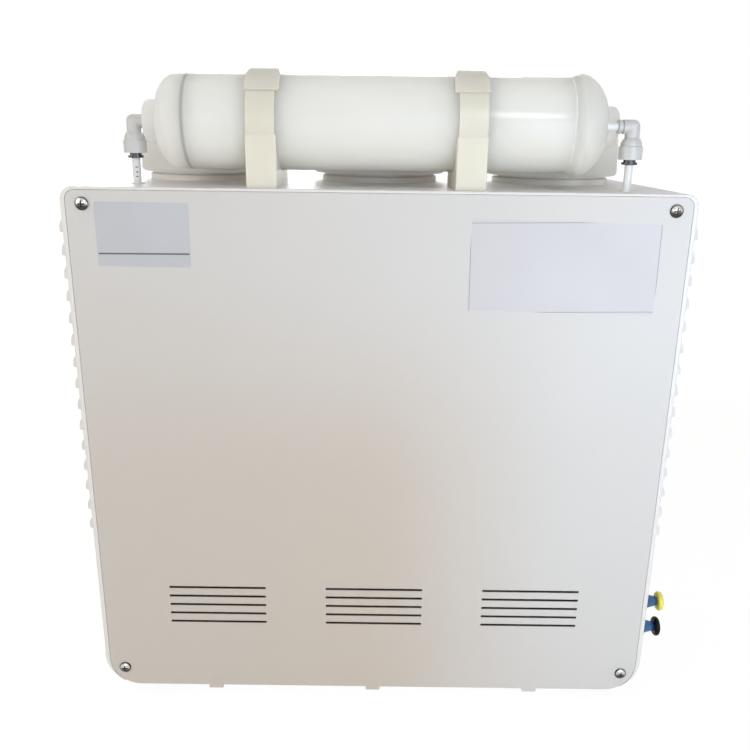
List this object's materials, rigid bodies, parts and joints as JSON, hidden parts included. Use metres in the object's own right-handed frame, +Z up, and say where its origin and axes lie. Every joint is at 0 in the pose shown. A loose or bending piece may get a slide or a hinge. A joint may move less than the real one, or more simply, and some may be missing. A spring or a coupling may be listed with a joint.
{
  "type": "ultrapure water system",
  "caption": "Bench-top water purifier: painted steel cabinet with lift-out cartridges, a clipped membrane housing on the deck, louvred sides and a front dispensing spout.",
  "frame": {"origin": "middle of the bottom of the machine's bounding box, at the table under the feet", "axes": "+Z up; +Y towards the rear panel, which the picture shows; +X to the side of the housing's closed end, away from the hand valves"},
  "size_m": [0.5074, 0.4564, 0.5401],
  "materials": {
    "cabinet_paint": "satin off-white powder coat",
    "panel_paint": "satin warm grey-white powder coat",
    "zinc": "zinc-plated sheet",
    "screw_steel": "bright pan heads",
    "rubber": "matt moulded rubber",
    "silver_label": "pale blue-silver film",
    "paper": "white paper film",
    "white_plastic": "satin white moulding",
    "cream_plastic": "satin cream moulding",
    "housing_plastic": "milky translucent polypropylene",
    "grey_plastic": "satin pale grey acetal",
    "dark_plastic": "black moulding",
    "seal_rubber": "grey seal rubber",
    "membrane_wrap": "wound white film",
    "tube_plastic": "milky white polyethylene tube",
    "fascia_grey": "slate grey film",
    "window_glass": "clear tinted window",
    "display": "dark liquid-crystal glass",
    "board_green": "solder-masked board",
    "key_white": "satin key caps",
    "column_white": "glossy white moulding",
    "block_white": "machined white plastic block",
    "valve_blue": "glossy blue moulding",
    "knob_yellow": "glossy yellow knob",
    "knob_black": "glossy black knob",
    "brass": "turned brass",
    "stainless": "brushed stainless",
    "motor_steel": "black painted can",
    "lamp_quartz": "clear quartz sleeve",
    "cable_black": "black cable sheath",
    "filter_clear": "clear white capsule"
  },
  "bodies": {
    "cabinet": {"cabinet_shell": "cabinet_paint", "rear_panel": "panel_paint", "panel_screws": "screw_steel", "rating_label": "silver_label", "paper_label": "paper", "base_pan": "zinc", "feet": "rubber", "front_cover": "white_plastic", "control_fascia": "fascia_grey", "display_window": "window_glass", "display_module": "display", "control_board": "board_green", "column_collars": "cream_plastic", "manifold_block": "block_white", "filter_housing": "housing_plastic", "housing_end_cap": "housing_plastic", "membrane_element": "membrane_wrap", "housing_seals": "seal_rubber", "housing_clips": "cream_plastic", "elbow_left": "grey_plastic", "elbow_right": "grey_plastic", "riser_tube_left": "tube_plastic", "riser_tube_right": "tube_plastic", "port_stem": "tube_plastic", "tube_grommets": "cream_plastic", "valve_necks": "valve_blue", "valve_bodies": "brass", "power_inlet": "dark_plastic", "water_ports": "stainless", "pump_head": "dark_plastic", "pump_motor": "motor_steel", "pressure_switch": "dark_plastic", "inlet_valve": "white_plastic", "outlet_valve": "white_plastic", "conductivity_cell": "stainless", "uv_chamber": "stainless", "uv_lamp": "lamp_quartz", "uv_brackets": "zinc", "power_supply": "zinc", "internal_tubes": "tube_plastic", "wiring_loom": "cable_black", "spout_base": "white_plastic"},
    "rocker": {"power_rocker": "knob_black"},
    "lower_knob": {"valve_knob_lower": "knob_black"},
    "upper_knob": {"valve_knob_upper": "knob_yellow"},
    "spout": {"spout_arm": "stainless", "final_filter": "filter_clear"},
    "left_collet": {"collet_left": "dark_plastic"},
    "right_collet": {"collet_right": "dark_plastic"},
    "side_collet": {"collet_side": "grey_plastic"},
    "key_body_1": {"key_1": "key_white"},
    "key_body_2": {"key_2": "key_white"},
    "key_body_3": {"key_3": "key_white"},
    "key_body_4": {"key_4": "key_white"},
    "cartridge_1": {"column_1": "column_white"},
    "lid_1": {"column_lid_1": "column_white"},
    "cartridge_2": {"column_2": "column_white"},
    "lid_2": {"column_lid_2": "column_white"},
    "cartridge_3": {"column_3": "column_white"},
    "lid_3": {"column_lid_3": "column_white"}
  },
  "joints": [
    {"name": "rocker_tip", "type": "hinge", "parent": "cabinet", "child": "rocker", "pos_m": [-0.22755, 0.0758, 0.135], "axis": [0, -1, 0], "range_deg": [0, 16]},
    {"name": "lower_knob_turn", "type": "hinge", "parent": "cabinet", "child": "lower_knob", "pos_m": [-0.24755, 0.2008, 0.0624], "axis": [-1, 0, 0], "range_deg": [0, 90]},
    {"name": "upper_knob_turn", "type": "hinge", "parent": "cabinet", "child": "upper_knob", "pos_m": [-0.24755, 0.2008, 0.0888], "axis": [-1, 0, 0], "range_deg": [0, 90]},
    {"name": "spout_swivel", "type": "hinge", "parent": "cabinet", "child": "spout", "pos_m": [0.14845, -0.1622, 0.3], "axis": [0, 0, 1], "range_deg": [-60, 60]},
    {"name": "left_collet_press", "type": "slide", "parent": "cabinet", "child": "left_collet", "axis": [0, 0, 1], "range_m": [0, 0.0015]},
    {"name": "right_collet_press", "type": "slide", "parent": "cabinet", "child": "right_collet", "axis": [0, 0, 1], "range_m": [0, 0.0015]},
    {"name": "side_collet_press", "type": "slide", "parent": "cabinet", "child": "side_collet", "axis": [-1, 0, 0], "range_m": [0, 0.0015]},
    {"name": "key_1_press", "type": "slide", "parent": "cabinet", "child": "key_body_1", "axis": [0, 1, 0], "range_m": [0, 0.0006], "stiffness_N_per_m": 400},
    {"name": "key_2_press", "type": "slide", "parent": "cabinet", "child": "key_body_2", "axis": [0, 1, 0], "range_m": [0, 0.0006], "stiffness_N_per_m": 400},
    {"name": "key_3_press", "type": "slide", "parent": "cabinet", "child": "key_body_3", "axis": [0, 1, 0], "range_m": [0, 0.0006], "stiffness_N_per_m": 400},
    {"name": "key_4_press", "type": "slide", "parent": "cabinet", "child": "key_body_4", "axis": [0, 1, 0], "range_m": [0, 0.0006], "stiffness_N_per_m": 400},
    {"name": "cartridge_1_lift", "type": "slide", "parent": "cabinet", "child": "cartridge_1", "axis": [0, 0, 1], "range_m": [0, 0.4]},
    {"name": "lid_1_twist", "type": "hinge", "parent": "cartridge_1", "child": "lid_1", "pos_m": [-0.14755, 0.0808, 0.48], "axis": [0, 0, 1], "range_deg": [0, 90]},
    {"name": "cartridge_2_lift", "type": "slide", "parent": "cabinet", "child": "cartridge_2", "axis": [0, 0, 1], "range_m": [0, 0.4]},
    {"name": "lid_2_twist", "type": "hinge", "parent": "cartridge_2", "child": "lid_2", "pos_m": [0.00845, 0.0808, 0.48], "axis": [0, 0, 1], "range_deg": [0, 90]},
    {"name": "cartridge_3_lift", "type": "slide", "parent": "cabinet", "child": "cartridge_3", "axis": [0, 0, 1], "range_m": [0, 0.4]},
    {"name": "lid_3_twist", "type": "hinge", "parent": "cartridge_3", "child": "lid_3", "pos_m": [0.16445, 0.0808, 0.48], "axis": [0, 0, 1], "range_deg": [0, 90]}
  ]
}
